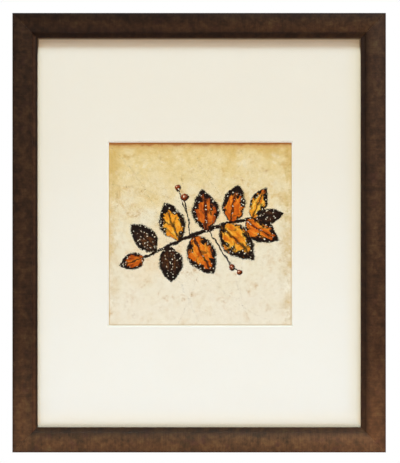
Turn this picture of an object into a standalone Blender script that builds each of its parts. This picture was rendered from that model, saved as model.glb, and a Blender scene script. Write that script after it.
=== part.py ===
"""A framed picture: a mitred wooden frame, glass, a bevelled window mat, a painted sheet and its backing.

The picture faces -Y, +Z is up and +X is to the viewer's right, all in metres. The origin is where the
wall's nail bears in the hanger, in the plane of the wall.
"""

import math

import bmesh
import bpy
from mathutils import Matrix, Vector

# Outline of the frame and section of its moulding
FRAME_WIDTH = 0.4130
FRAME_HEIGHT = 0.4860
FRAME_DEPTH = 0.0254
RAIL_WIDTH = 0.0272
LIP_DEPTH = 0.0095
RABBET_WIDTH = 0.0060
EDGE_RADIUS = 0.0016
CROWN_RADIUS = 0.0440
CROWN_PEAK = 0.0100
CREASE_AT = 0.0216
CREASE_WIDTH = 0.0004
CREASE_DROP = 0.0007
COVE_DROP = 0.0024
SIGHT_RADIUS = 0.0004
BACK_CHAMFER = 0.0005
ARC_STEP = math.radians(11.25)
CROWN_PARTS = 14
COVE_PARTS = 8

# Sheets in the rabbet, from the glass to the back
GLASS_THICKNESS = 0.0020
MAT_THICKNESS = 0.0015
SHEET_THICKNESS = 0.0005
MOUNT_THICKNESS = 0.0014
BACKING_THICKNESS = 0.0050
RABBET_PLAY = 0.0030
WINDOW_SIZE = 0.2032
WINDOW_RIGHT_OF_CENTRE = 0.0013
WINDOW_BELOW_CENTRE = 0.0015
SHEET_OVERLAP = 0.0120

# Metal points pressed into the rails to hold the sheets
POINT_LENGTH = 0.0150
POINT_WIDTH = 0.0060
POINT_THICKNESS = 0.0005
POINT_IN_WOOD = 0.0065
POINTS_ON_SHORT_RAIL = 2
POINTS_ON_LONG_RAIL = 3
POINT_SPACING = 0.1300

# Dust cover, hanger and bumpers on the back
COVER_THICKNESS = 0.0003
COVER_INSET = 0.0030
HANGER_LENGTH = 0.0445
HANGER_HEIGHT = 0.0095
HANGER_THICKNESS = 0.0008
HANGER_TAB = 0.0075
HANGER_RAMP = 0.0030
HANGER_RISE = 0.0019
TOOTH_PITCH = 0.0032
TOOTH_DEPTH = 0.0018
TOOTH_COUNT = 7
NOTCH_BELOW_TOP = 0.0125
NAIL_LENGTH = 0.0130
NAIL_RADIUS = 0.00075
NAIL_HEAD_RADIUS = 0.0020
NAIL_HEAD_THICKNESS = 0.0008
NAIL_HEAD_ROUNDING = 0.00025
BUMPER_RADIUS = 0.0050
BUMPER_THICKNESS = 0.0030
BUMPER_ROUNDING = 0.0010
BUMPER_FROM_SIDE = 0.0120
ROUNDING_PARTS = 3

# Clearance between pieces that touch, and round-piece resolution
GAP = 0.0003
ROUND_SIDES = 32
SMALL_ROUND_SIDES = 16
CUTTER_OVERSHOOT = 0.0010
SMOOTH_ANGLE = math.radians(30.0)

# Planes worked out from the sizes above; y grows from the picture towards the wall
WALL_Y = 0.0
COVER_FACE_Y = WALL_Y - BUMPER_THICKNESS - GAP
FRAME_BACK_Y = COVER_FACE_Y - COVER_THICKNESS - GAP
FRAME_FRONT_Y = FRAME_BACK_Y - FRAME_DEPTH
FRAME_TOP_Z = NOTCH_BELOW_TOP
FRAME_CENTRE_Z = FRAME_TOP_Z - FRAME_HEIGHT / 2
BACK_WIDTH = RAIL_WIDTH - RABBET_WIDTH
SHEETS_WIDTH = FRAME_WIDTH - 2 * BACK_WIDTH - RABBET_PLAY
SHEETS_HEIGHT = FRAME_HEIGHT - 2 * BACK_WIDTH - RABBET_PLAY
SHEETS_CENTRE_Z = FRAME_CENTRE_Z - FRAME_HEIGHT / 2 + BACK_WIDTH + GAP + SHEETS_HEIGHT / 2
WINDOW_CENTRE_Z = FRAME_CENTRE_Z - WINDOW_BELOW_CENTRE
GLASS_Y = FRAME_FRONT_Y + LIP_DEPTH + GAP
MAT_Y = GLASS_Y + GLASS_THICKNESS + GAP
SHEET_Y = MAT_Y + MAT_THICKNESS + GAP
MOUNT_Y = SHEET_Y + SHEET_THICKNESS + GAP
BACKING_Y = MOUNT_Y + MOUNT_THICKNESS + GAP
POINT_Y = BACKING_Y + BACKING_THICKNESS + GAP
HANGER_Y = COVER_FACE_Y + GAP


def clear_scene():
    """Remove the objects that the scene starts with."""
    for obj in list(bpy.data.objects):
        bpy.data.objects.remove(obj, do_unlink=True)


def make_material(name, colour, roughness, metallic=0.0, transmission=0.0):
    """Return a plain Principled material."""
    material = bpy.data.materials.new(name)
    material.use_nodes = True
    shader = material.node_tree.nodes["Principled BSDF"]
    shader.inputs["Base Color"].default_value = (*colour, 1.0)
    shader.inputs["Roughness"].default_value = roughness
    shader.inputs["Metallic"].default_value = metallic
    shader.inputs["Transmission Weight"].default_value = transmission
    return material


def make_object(name, bm, material, location=(0.0, 0.0, 0.0), turn=0.0):
    """Turn a bmesh into a named object, placed by its location and a turn about Y."""
    bmesh.ops.recalc_face_normals(bm, faces=bm.faces)
    mesh = bpy.data.meshes.new(name)
    bm.to_mesh(mesh)
    bm.free()
    if material:
        mesh.materials.append(material)
    obj = bpy.data.objects.new(name, mesh)
    obj.location = location
    obj.rotation_euler = (0.0, turn, 0.0)
    bpy.context.scene.collection.objects.link(obj)
    return obj


def shade_round(obj):
    """Shade the round faces smooth and keep the corners sharp."""
    obj.data.shade_smooth()
    obj.data.set_sharp_from_angle(angle=SMOOTH_ANGLE)


def round_rims(obj, width):
    """Round the sharp rims of a turned piece with a live Bevel."""
    modifier = obj.modifiers.new("rounded_rims", "BEVEL")
    modifier.width = width
    modifier.segments = ROUNDING_PARTS
    modifier.limit_method = "ANGLE"


def add_box(bm, size, centre):
    """Add a box of the given size to a bmesh."""
    place = Matrix.Translation(centre) @ Matrix.Diagonal((*size, 1.0))
    bmesh.ops.create_cube(bm, size=1.0, matrix=place)


def add_cylinder(bm, radius, start_y, end_y, x, z, sides):
    """Add a cylinder that runs along Y to a bmesh, and return its new vertices."""
    length = end_y - start_y
    centre = Matrix.Translation((x, start_y + length / 2, z))
    place = centre @ Matrix.Rotation(math.radians(90.0), 4, "X")
    made = bmesh.ops.create_cone(
        bm, cap_ends=True, segments=sides, radius1=radius, radius2=radius, depth=length, matrix=place
    )
    return made["verts"]


def make_cutter(name, bm, location=(0.0, 0.0, 0.0), turn=0.0):
    """Make a cutter object: it shapes other pieces and isn't one itself."""
    cutter = make_object(name, bm, None, location, turn)
    cutter.hide_render = True
    cutter.display_type = "WIRE"
    return cutter


def cut_with(obj, cutter):
    """Subtract the cutter from an object with a live Boolean."""
    modifier = obj.modifiers.new(cutter.name, "BOOLEAN")
    modifier.operation = "DIFFERENCE"
    modifier.solver = "EXACT"
    modifier.object = cutter


def arc(centre_u, centre_v, radius, start, end):
    """Return points on an arc, at steps of ARC_STEP; an angle of 90 degrees points to the front."""
    parts = max(1, round(abs(end - start) / ARC_STEP))
    angles = [start + (end - start) * part / parts for part in range(parts + 1)]
    return [(centre_u + radius * math.cos(a), centre_v - radius * math.sin(a)) for a in angles]


def crown_depth(u):
    """Return how far the crowned face lies behind the front plane, at u from the outer edge."""
    return CROWN_RADIUS - math.sqrt(CROWN_RADIUS**2 - (u - CROWN_PEAK) ** 2)


def rail_section():
    """Return the moulding's outline as points: inward from the outer edge, and back from the front."""
    # Rounded outer edge, which meets the crowned face
    crown_start = EDGE_RADIUS
    edge_centre = crown_depth(crown_start) + EDGE_RADIUS
    points = arc(EDGE_RADIUS, edge_centre, EDGE_RADIUS, math.pi, math.pi / 2)

    # Crowned face, up to the crease
    for part in range(1, CROWN_PARTS + 1):
        u = crown_start + (CREASE_AT - crown_start) * part / CROWN_PARTS
        points.append((u, crown_depth(u)))

    # Crease, then a hollow cove that falls to the sight edge
    cove_start = CREASE_AT + CREASE_WIDTH
    cove_top = crown_depth(CREASE_AT) + CREASE_DROP
    cove_width = RAIL_WIDTH - SIGHT_RADIUS - cove_start
    for part in range(COVE_PARTS + 1):
        angle = math.pi / 2 * part / COVE_PARTS
        u = cove_start + cove_width * (1 - math.cos(angle))
        points.append((u, cove_top + COVE_DROP * math.sin(angle)))

    # Sight edge, rabbet, back and outer side
    cove_bottom = cove_top + COVE_DROP
    points.append((RAIL_WIDTH, cove_bottom + SIGHT_RADIUS))
    points.append((RAIL_WIDTH, LIP_DEPTH))
    points.append((BACK_WIDTH, LIP_DEPTH))
    points.append((BACK_WIDTH, FRAME_DEPTH))
    points.append((BACK_CHAMFER, FRAME_DEPTH))
    points.append((0.0, FRAME_DEPTH - BACK_CHAMFER))
    return points


def saw_mitre(bm, half_length, side):
    """Saw one end of a rail at 45 degrees, a hair short of the corner's diagonal, and close the cut."""
    setback = GAP / 2 * math.sqrt(2)
    blade = Vector((side * (half_length - setback), 0.0, 0.0))
    away = Vector((side, 0.0, -1.0)).normalized()
    geometry = bm.verts[:] + bm.edges[:] + bm.faces[:]
    bmesh.ops.bisect_plane(bm, geom=geometry, plane_co=blade, plane_no=away, clear_outer=True)
    bmesh.ops.holes_fill(bm, edges=bm.edges, sides=0)


def point_places(count):
    """Return how far along a rail each of its points sits, measured from the rail's middle."""
    return [(index - (count - 1) / 2) * POINT_SPACING for index in range(count)]


def make_rail(name, length, location, turn, point_count, material):
    """Make one length of moulding, with slots for its points; its outer edge is the local z = 0."""
    bm = bmesh.new()
    half = length / 2
    corners = [bm.verts.new((-half, v, -u)) for u, v in rail_section()]
    end = bm.faces.new(corners)
    extruded = bmesh.ops.extrude_face_region(bm, geom=[end])
    moved = [item for item in extruded["geom"] if isinstance(item, bmesh.types.BMVert)]
    bmesh.ops.translate(bm, verts=moved, vec=(length, 0.0, 0.0))
    saw_mitre(bm, half, 1)
    saw_mitre(bm, half, -1)
    rail = make_object(name, bm, material, location, turn)
    shade_round(rail)

    slots = bmesh.new()
    slot_y = POINT_Y + POINT_THICKNESS / 2 - FRAME_FRONT_Y
    slot_z = -BACK_WIDTH + POINT_IN_WOOD / 2
    slot_size = (POINT_WIDTH + 2 * GAP, POINT_THICKNESS + 2 * GAP, POINT_IN_WOOD + 2 * GAP)
    for place in point_places(point_count):
        add_box(slots, slot_size, (place, slot_y, slot_z))
    cut_with(rail, make_cutter(name + "_point_slots", slots, location, turn))
    return rail


def make_points(rail_name, location, turn, count, material):
    """Make the metal points of one rail: half in their slots, half over the backing board."""
    for number, place in enumerate(point_places(count), start=1):
        bm = bmesh.new()
        point_y = POINT_Y + POINT_THICKNESS / 2 - FRAME_FRONT_Y
        point_z = -BACK_WIDTH + POINT_IN_WOOD - POINT_LENGTH / 2
        add_box(bm, (POINT_WIDTH, POINT_THICKNESS, POINT_LENGTH), (place, point_y, point_z))
        make_object(f"framer_point_{rail_name}_{number}", bm, material, location, turn)


def make_frame(wood, steel):
    """Make the four mitred rails and the points in them, and return the top rail."""
    half_width = FRAME_WIDTH / 2
    half_height = FRAME_HEIGHT / 2
    quarter = math.pi / 2
    # Each side: its length, where its outer edge lies, its turn about Y, and its number of points
    sides = {
        "top": (FRAME_WIDTH, (0.0, half_height), 0.0, POINTS_ON_SHORT_RAIL),
        "right": (FRAME_HEIGHT, (half_width, 0.0), quarter, POINTS_ON_LONG_RAIL),
        "bottom": (FRAME_WIDTH, (0.0, -half_height), 2 * quarter, POINTS_ON_SHORT_RAIL),
        "left": (FRAME_HEIGHT, (-half_width, 0.0), 3 * quarter, POINTS_ON_LONG_RAIL),
    }
    rails = {}
    for side, (length, (x, z), turn, count) in sides.items():
        location = (x, FRAME_FRONT_Y, FRAME_CENTRE_Z + z)
        rails[side] = make_rail(f"frame_rail_{side}", length, location, turn, count, wood)
        make_points(side, location, turn, count, steel)
    return rails["top"]


def make_sheet(name, width, height, front_y, thickness, centre, material):
    """Make a flat rectangular sheet with its front face at front_y."""
    bm = bmesh.new()
    add_box(bm, (width, thickness, height), (0.0, thickness / 2, 0.0))
    return make_object(name, bm, material, (centre[0], front_y, centre[1]))


def rectangle(bm, width, height, y, centre_x, centre_z):
    """Add a rectangle of four edges at y to a bmesh and return the edges."""
    signs = ((-1, -1), (1, -1), (1, 1), (-1, 1))
    corners = [bm.verts.new((centre_x + a * width / 2, y, centre_z + b * height / 2)) for a, b in signs]
    return [bm.edges.new((corners[index - 1], corners[index])) for index in range(4)]


def make_window_mat(material):
    """Make the mat: a board with a window whose edge is bevelled at 45 degrees towards the glass."""
    bm = bmesh.new()
    window_x = WINDOW_RIGHT_OF_CENTRE
    window_z = WINDOW_CENTRE_Z - SHEETS_CENTRE_Z
    opening = WINDOW_SIZE + 2 * MAT_THICKNESS
    loops = [
        rectangle(bm, SHEETS_WIDTH, SHEETS_HEIGHT, 0.0, 0.0, 0.0),
        rectangle(bm, opening, opening, 0.0, window_x, window_z),
        rectangle(bm, WINDOW_SIZE, WINDOW_SIZE, MAT_THICKNESS, window_x, window_z),
        rectangle(bm, SHEETS_WIDTH, SHEETS_HEIGHT, MAT_THICKNESS, 0.0, 0.0),
    ]
    for index, loop in enumerate(loops):
        bmesh.ops.bridge_loops(bm, edges=loops[index - 1] + loop)
    return make_object("window_mat", bm, material, (0.0, MAT_Y, SHEETS_CENTRE_Z))


def make_sheets(materials):
    """Make everything that lies in the rabbet, from the glass to the backing board."""
    centre = (0.0, SHEETS_CENTRE_Z)
    window = (WINDOW_RIGHT_OF_CENTRE, WINDOW_CENTRE_Z)
    sheet_size = WINDOW_SIZE + 2 * SHEET_OVERLAP
    size = (SHEETS_WIDTH, SHEETS_HEIGHT)
    make_sheet("glass_pane", *size, GLASS_Y, GLASS_THICKNESS, centre, materials["glass"])
    make_window_mat(materials["mat"])
    make_sheet(
        "painted_sheet", sheet_size, sheet_size, SHEET_Y, SHEET_THICKNESS, window, materials["paint"]
    )
    make_sheet("mount_board", *size, MOUNT_Y, MOUNT_THICKNESS, centre, materials["board"])
    make_sheet("backing_board", *size, BACKING_Y, BACKING_THICKNESS, centre, materials["board"])


def nail_places():
    """Return the X of the hanger's two nails."""
    offset = HANGER_LENGTH / 2 - HANGER_TAB / 2
    return {"left": -offset, "right": offset}


def nail_z():
    """Return the height of the hanger's nails: the middle of its tabs."""
    return HANGER_HEIGHT / 2 - TOOTH_DEPTH


def hanger_outline():
    """Return the hanger's outline as X and Z points, with its teeth along the lower edge."""
    half = HANGER_LENGTH / 2
    bottom = -TOOTH_DEPTH
    top = bottom + HANGER_HEIGHT
    points = [(half, bottom), (half, top), (-half, top), (-half, bottom)]
    teeth_start = -TOOTH_COUNT / 2 * TOOTH_PITCH
    for tooth in range(TOOTH_COUNT):
        start = teeth_start + tooth * TOOTH_PITCH
        points.append((start, bottom))
        points.append((start + TOOTH_PITCH / 2, 0.0))
    points.append((-teeth_start, bottom))
    return points


def make_hanger(material):
    """Make the sawtooth hanger: flat end tabs, and a raised bar between them with teeth below."""
    bm = bmesh.new()
    plate = bm.faces.new([bm.verts.new((x, 0.0, z)) for x, z in hanger_outline()])
    extruded = bmesh.ops.extrude_face_region(bm, geom=[plate])
    moved = [item for item in extruded["geom"] if isinstance(item, bmesh.types.BMVert)]
    bmesh.ops.translate(bm, verts=moved, vec=(0.0, HANGER_THICKNESS, 0.0))

    # Crease the plate at both ends of both ramps, then lift what lies between
    ramp_end = HANGER_LENGTH / 2 - HANGER_TAB
    ramp_start = ramp_end - HANGER_RAMP
    for fold in (-ramp_end, -ramp_start, ramp_start, ramp_end):
        geometry = bm.verts[:] + bm.edges[:] + bm.faces[:]
        bmesh.ops.bisect_plane(bm, geom=geometry, plane_co=(fold, 0.0, 0.0), plane_no=(1.0, 0.0, 0.0))
    for vert in bm.verts:
        share = (ramp_end - abs(vert.co.x)) / HANGER_RAMP
        vert.co.y += HANGER_RISE * min(1.0, max(0.0, share))
    return make_object("sawtooth_hanger", bm, material, (0.0, HANGER_Y, 0.0))


def make_nails(material):
    """Make the two nails that fix the hanger: a thin round shank under a bevelled head."""
    head_y = HANGER_Y + HANGER_THICKNESS + GAP
    for side, x in nail_places().items():
        bm = bmesh.new()
        add_cylinder(bm, NAIL_HEAD_RADIUS, 0.0, NAIL_HEAD_THICKNESS, 0.0, 0.0, SMALL_ROUND_SIDES)
        head = make_object(f"hanger_nail_{side}", bm, material, (x, head_y, nail_z()))
        round_rims(head, NAIL_HEAD_ROUNDING)

        shank = bmesh.new()
        add_cylinder(
            shank, NAIL_RADIUS, -NAIL_LENGTH, NAIL_HEAD_THICKNESS / 2, 0.0, 0.0, SMALL_ROUND_SIDES
        )
        stem = make_cutter(f"hanger_nail_{side}_shank", shank, head.location)
        union = head.modifiers.new("shank", "BOOLEAN")
        union.operation = "UNION"
        union.solver = "EXACT"
        union.object = stem
        shade_round(head)


def bore_for_nails(pieces):
    """Bore the nails' holes, with clearance, through each piece that they pass."""
    bores = bmesh.new()
    start_y = HANGER_Y - NAIL_LENGTH - CUTTER_OVERSHOOT
    end_y = HANGER_Y + HANGER_THICKNESS + CUTTER_OVERSHOOT
    for x in nail_places().values():
        add_cylinder(bores, NAIL_RADIUS + GAP, start_y, end_y, x, nail_z(), SMALL_ROUND_SIDES)
    cutter = make_cutter("nail_bores", bores)
    for piece in pieces:
        cut_with(piece, cutter)


def make_bumpers(material):
    """Make the two soft bumpers that keep the lower corners off the wall."""
    x = FRAME_WIDTH / 2 - BUMPER_FROM_SIDE
    z = FRAME_CENTRE_Z - FRAME_HEIGHT / 2 + BUMPER_FROM_SIDE
    for side, sign in (("left", -1), ("right", 1)):
        bm = bmesh.new()
        add_cylinder(bm, BUMPER_RADIUS, 0.0, BUMPER_THICKNESS, 0.0, 0.0, ROUND_SIDES)
        bumper = make_object(f"wall_bumper_{side}", bm, material, (sign * x, WALL_Y - BUMPER_THICKNESS, z))
        round_rims(bumper, BUMPER_ROUNDING)
        shade_round(bumper)


def make_materials():
    """Return the pieces' materials by a short name."""
    return {
        "wood": make_material("Bronze brown wood", (0.070, 0.035, 0.018), 0.45),
        "glass": make_material("Picture glass", (1.0, 1.0, 1.0), 0.02, transmission=1.0),
        "mat": make_material("Ivory mat board", (0.86, 0.80, 0.68), 0.90),
        "paint": make_material("Painted ochre ground", (0.78, 0.64, 0.38), 0.60),
        "board": make_material("White board", (0.85, 0.84, 0.80), 0.90),
        "paper": make_material("Kraft paper", (0.42, 0.27, 0.15), 0.85),
        "steel": make_material("Zinc plated steel", (0.62, 0.61, 0.58), 0.35, metallic=1.0),
        "brass": make_material("Brass plated steel", (0.72, 0.55, 0.28), 0.35, metallic=1.0),
        "bumper": make_material("Clear soft plastic", (0.80, 0.80, 0.78), 0.30),
    }


def main():
    """Build the whole framed picture."""
    clear_scene()
    materials = make_materials()
    top_rail = make_frame(materials["wood"], materials["steel"])
    make_sheets(materials)
    cover = make_sheet(
        "dust_cover",
        FRAME_WIDTH - 2 * COVER_INSET,
        FRAME_HEIGHT - 2 * COVER_INSET,
        COVER_FACE_Y - COVER_THICKNESS,
        COVER_THICKNESS,
        (0.0, FRAME_CENTRE_Z),
        materials["paper"],
    )
    hanger = make_hanger(materials["brass"])
    make_nails(materials["brass"])
    bore_for_nails([top_rail, cover, hanger])
    make_bumpers(materials["bumper"])


main()
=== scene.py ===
# %% [markdown]
# # A framed picture, from the moulding to the dust cover
#
# The real object is a small painting behind a window mat, in a frame of brown wooden moulding. Its
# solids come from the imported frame. This lesson dresses them: it models the pieces whose shape the
# solids keep plain, and gives every surface a finish made of shader nodes, with no image anywhere.

# %% Load the frame
import math

import bpy
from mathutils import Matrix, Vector


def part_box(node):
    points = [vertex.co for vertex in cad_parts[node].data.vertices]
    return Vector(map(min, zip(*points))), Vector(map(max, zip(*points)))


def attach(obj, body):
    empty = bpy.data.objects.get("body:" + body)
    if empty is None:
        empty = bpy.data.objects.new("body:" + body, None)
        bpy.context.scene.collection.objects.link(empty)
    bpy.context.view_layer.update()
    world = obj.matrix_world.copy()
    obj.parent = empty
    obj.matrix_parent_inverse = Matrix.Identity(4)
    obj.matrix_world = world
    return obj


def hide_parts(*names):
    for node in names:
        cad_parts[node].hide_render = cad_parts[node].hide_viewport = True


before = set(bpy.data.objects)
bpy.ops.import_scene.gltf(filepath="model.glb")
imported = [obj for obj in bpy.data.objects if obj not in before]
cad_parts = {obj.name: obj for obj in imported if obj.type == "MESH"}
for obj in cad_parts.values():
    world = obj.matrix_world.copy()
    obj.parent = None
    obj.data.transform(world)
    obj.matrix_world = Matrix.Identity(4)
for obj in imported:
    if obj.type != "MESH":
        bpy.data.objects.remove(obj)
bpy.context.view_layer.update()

# %% [markdown]
# ## Where things are
#
# Every size below is read from the solids, so that a finish or a new piece lands where the solids
# say. The only sizes written out are those that no box gives, such as the moulding's section. The
# window in the mat could be traced from the mat's mesh, but it is simpler than that: the painted
# sheet is centred on it and reaches 12 mm past it on every side.

# %% Sizes and places
RAIL_WIDTH = 0.0272
BACK_WIDTH = 0.0212
LIP_DEPTH = 0.0095
SHEET_OVERLAP = 0.0120
MM = 1000.0

left_low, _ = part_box("frame_rail_left")
top_low, top_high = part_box("frame_rail_top")
bottom_low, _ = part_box("frame_rail_bottom")
_, right_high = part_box("frame_rail_right")
FRAME_FRONT = top_low[1]
FRAME_BACK = top_high[1]
FRAME_TOP = top_high[2]
FRAME_BOTTOM = bottom_low[2]
FRAME_LEFT = left_low[0]
FRAME_RIGHT = right_high[0]
FRAME_WIDTH = FRAME_RIGHT - FRAME_LEFT
FRAME_HEIGHT = FRAME_TOP - FRAME_BOTTOM
FRAME_DEPTH = FRAME_BACK - FRAME_FRONT
FRAME_X = (FRAME_LEFT + FRAME_RIGHT) / 2
FRAME_Z = (FRAME_TOP + FRAME_BOTTOM) / 2

sheet_low, sheet_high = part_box("painted_sheet")
WINDOW_SIZE = sheet_high[0] - sheet_low[0] - 2 * SHEET_OVERLAP
WINDOW_X = (sheet_low[0] + sheet_high[0]) / 2
WINDOW_Z = (sheet_low[2] + sheet_high[2]) / 2
print(f"frame {FRAME_WIDTH * MM:.1f} x {FRAME_HEIGHT * MM:.1f} mm, window {WINDOW_SIZE * MM:.1f} mm")

# %% [markdown]
# ## Arithmetic on sockets
#
# A pattern in a shader is a formula, and a formula is easier to read as an expression than as a
# chain of nodes. So a socket is wrapped in a small class whose arithmetic adds Math nodes. All other
# nodes come from one method, which sets a node's options first and its sockets after that.


# %% The class that wraps a socket
class Number:
    """A socket of a finish, which Python's arithmetic can work on."""

    def __init__(self, finish, socket):
        self.finish = finish
        self.socket = socket

    def join(self, operation, *values):
        """Add a Math node for an operation on these values."""
        return self.finish.add("ShaderNodeMath", {"operation": operation}, dict(enumerate(values)))

    def __add__(self, other):
        return self.join("ADD", self, other)

    def __radd__(self, other):
        return self.join("ADD", other, self)

    def __sub__(self, other):
        return self.join("SUBTRACT", self, other)

    def __rsub__(self, other):
        return self.join("SUBTRACT", other, self)

    def __mul__(self, other):
        return self.join("MULTIPLY", self, other)

    def __rmul__(self, other):
        return self.join("MULTIPLY", other, self)

    def __truediv__(self, other):
        return self.join("DIVIDE", self, other)

    def __pow__(self, other):
        return self.join("POWER", self, other)

    def __abs__(self):
        return self.join("ABSOLUTE", self)

    def least(self, other):
        """The smaller of two numbers."""
        return self.join("MINIMUM", self, other)

    def most(self, other):
        """The larger of two numbers."""
        return self.join("MAXIMUM", self, other)

    def over(self, other):
        """One where this number is the larger, and zero elsewhere."""
        return self.join("GREATER_THAN", self, other)

    def zigzag(self, half_period):
        """A wave that runs up and down in straight lines between zero and half a period."""
        return self.join("PINGPONG", self, half_period)


# %% [markdown]
# ## A finish
#
# A finish is one material: a Principled shader and the nodes that drive it. Its methods are the
# handful of tools that all the patterns here are made of: noise, a soft step, a blend of two colours
# and a point built from three numbers. Most colours are built up in layers, like paint, so a finish
# also holds its colour so far.


# %% The class that holds a material
class Finish:
    """One material: its Principled shader, and the tools that make its pattern."""

    def __init__(self, name, **constants):
        self.material = bpy.data.materials.new(name)
        self.material.use_nodes = True
        self.nodes = self.material.node_tree.nodes
        self.links = self.material.node_tree.links
        self.shader = self.nodes["Principled BSDF"]
        for socket, value in constants.items():
            self.shader.inputs[socket.replace("_", " ")].default_value = value
        self.place = self.add("ShaderNodeTexCoord", {}, {}, "Object")
        self.x, self.y, self.z = self.parts(self.place)
        self.colour = None

    def add(self, kind, settings, values, output=0):
        """Add a node: its settings first, then a value or a link for each socket."""
        node = self.nodes.new(kind)
        for name, value in settings.items():
            if name == "stops":
                self.set_stops(node.color_ramp, value)
            else:
                setattr(node, name, value)
        for name, value in values.items():
            if isinstance(value, Number):
                self.links.new(value.socket, node.inputs[name])
            else:
                node.inputs[name].default_value = value
        return Number(self, node.outputs[output])

    def set_stops(self, ramp, stops):
        """Give a colour ramp its stops, as pairs of a position and a colour."""
        while len(ramp.elements) < len(stops):
            ramp.elements.new(1.0)
        for element, (position, colour) in zip(ramp.elements, stops):
            element.position = position
            element.color = (*colour, 1.0)

    def parts(self, vector):
        """The three numbers of a vector."""
        node = self.nodes.new("ShaderNodeSeparateXYZ")
        self.links.new(vector.socket, node.inputs[0])
        return [Number(self, socket) for socket in node.outputs]

    def point(self, x, y, z):
        """A point from three numbers."""
        return self.add("ShaderNodeCombineXYZ", {}, {0: x, 1: y, 2: z})

    def noise(self, place, scale, detail=3.0, roughness=0.5, output=0):
        """Cloudy noise from about 0.2 to 0.8 with its middle at 0.5, as a number or as a colour."""
        values = {"Vector": place, "Scale": scale, "Detail": detail, "Roughness": roughness}
        return self.add("ShaderNodeTexNoise", {}, values, output)

    def cells(self, place, scale, output="Distance"):
        """Voronoi cells: the distance to the nearest random point, or a random colour for each cell."""
        return self.add("ShaderNodeTexVoronoi", {}, {"Vector": place, "Scale": scale}, output)

    def step(self, value, low, high):
        """A soft step: zero below low, one above high."""
        values = {"Value": value, "From Min": low, "From Max": high}
        return self.add("ShaderNodeMapRange", {"interpolation_type": "SMOOTHSTEP"}, values)

    def blend(self, share, first, second):
        """The first colour, with this share of the second laid over it."""
        pair = [colour if isinstance(colour, Number) else (*colour, 1.0) for colour in (first, second)]
        values = {0: share, 6: pair[0], 7: pair[1]}
        return self.add("ShaderNodeMix", {"data_type": "RGBA"}, values, 2)

    def lay(self, share, colour):
        """Lay this share of a colour over the colour so far."""
        self.colour = self.blend(share, self.colour, colour)

    def ramp(self, value, stops):
        """A colour read from a ramp."""
        return self.add("ShaderNodeValToRGB", {"stops": stops}, {0: value})

    def drive(self, socket, value):
        """Link a number or a colour to a socket of the shader."""
        self.links.new(value.socket, self.shader.inputs[socket])

    def relief(self, height, depth):
        """Let a height, in parts of a depth in metres, tilt the surface."""
        bump = self.add("ShaderNodeBump", {}, {"Height": height, "Distance": depth, "Strength": 1.0})
        self.drive("Normal", bump)


# %% [markdown]
# ## The hand-rubbed moulding finish
#
# The moulding is wood under a dark bronze-brown finish that was dabbed on and rubbed back. Bronze
# powder in it makes it a little metallic. It shows soft blotches of red-brown, golden brown and olive
# a few millimetres across, and faint brush marks across the rail. A wood grain would be wrong,
# because the finish hides it.
#
# The rail's own outer edge is the measure for the rest. The distance in from the frame's outline tells
# the rounded edge from the crown and the lip, and which side is nearer tells upright rails from level
# ones. With these two numbers the dark glaze is left thick along the outer edge and in the lip, and
# thin on the crown. The same numbers also lay painted light and shade. The glaze is thicker on the
# upper rails and the left and thinner over the foot of the frame, and the left lip is laid lighter, as
# if lit from the right.


# %% Where a place lies on the frame
MIDDLE_BLUR = 0.001


def from_edges(finish):
    """How far in a place is from the frame's sides and from its ends, in millimetres."""
    from_side = FRAME_WIDTH / 2 * MM - abs((finish.x - FRAME_X) * MM)
    from_end = FRAME_HEIGHT / 2 * MM - abs((finish.z - FRAME_Z) * MM)
    return from_side, from_end


def past_middle(finish, distance):
    """One where this distance from the middle is above zero, and zero elsewhere."""
    return finish.step(distance, 0.0, MIDDLE_BLUR)


# %% Places and grains of the moulding
RIM = (0.6, 2.0)
LIP = (20.8, 22.2)
LIP_ENDS = 24.5
STRIP_ENDS = 26.0
FINE_MARKS = 900.0
LONG_MARKS = 70.0
DEEP_MARKS = 90.0


class Moulding(Finish):
    """The moulding's finish, which knows how far in a place lies and on which rail."""

    def __init__(self, name, **constants):
        super().__init__(name, **constants)
        from_side, from_end = from_edges(self)
        self.inward = from_side.least(from_end)
        self.level = from_side.over(from_end)
        upright = 1 - self.level
        self.on_left = upright * past_middle(self, FRAME_X - self.x)
        self.on_right = upright * past_middle(self, self.x - FRAME_X)
        self.on_top = self.level * past_middle(self, self.z - FRAME_Z)
        self.rim = 1 - self.step(self.inward, *RIM)
        self.lip = self.step(self.inward, *LIP)
        # Painted light: the left rail's lip is laid lighter and red-brown, as if lit from the right
        self.strip = self.on_left * self.lip * (1 - self.step(self.inward, LIP_ENDS, STRIP_ENDS))
        self.blotches = self.noise(self.place, 150.0, 4.0, 0.6)
        self.drifts = self.noise(self.place, 34.0, 3.0, 0.5)
        self.marks = self.brush_marks()

    def brush_marks(self):
        """Marks across each rail: fine along its length and long across it."""
        deep = self.y * DEEP_MARKS
        level = self.noise(self.point(self.x * FINE_MARKS, deep, self.z * LONG_MARKS), 1.0, 2.0)
        upright = self.noise(self.point(self.x * LONG_MARKS, deep, self.z * FINE_MARKS), 1.0, 2.0)
        return upright + (level - upright) * self.level


# %% Dabs of colour
def dab(wood):
    """Dabs of olive, red-brown and golden brown, a few millimetres across."""
    tint = wood.blotches * 0.56 + wood.drifts * 0.26 + wood.marks * 0.18 + 0.02
    wood.colour = wood.ramp(
        tint,
        [
            (0.36, (0.066, 0.047, 0.029)),
            (0.45, (0.116, 0.067, 0.036)),
            (0.52, (0.165, 0.084, 0.043)),
            (0.60, (0.220, 0.117, 0.054)),
            (0.70, (0.266, 0.170, 0.072)),
        ],
    )
    purple = wood.noise(wood.point(wood.x, wood.z, 7.0), 75.0, 2.0)
    wood.lay(wood.step(purple, 0.56, 0.70) * 0.45, (0.140, 0.062, 0.050))
    wood.lay(wood.rim * 0.80, (0.120, 0.036, 0.015))


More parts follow.
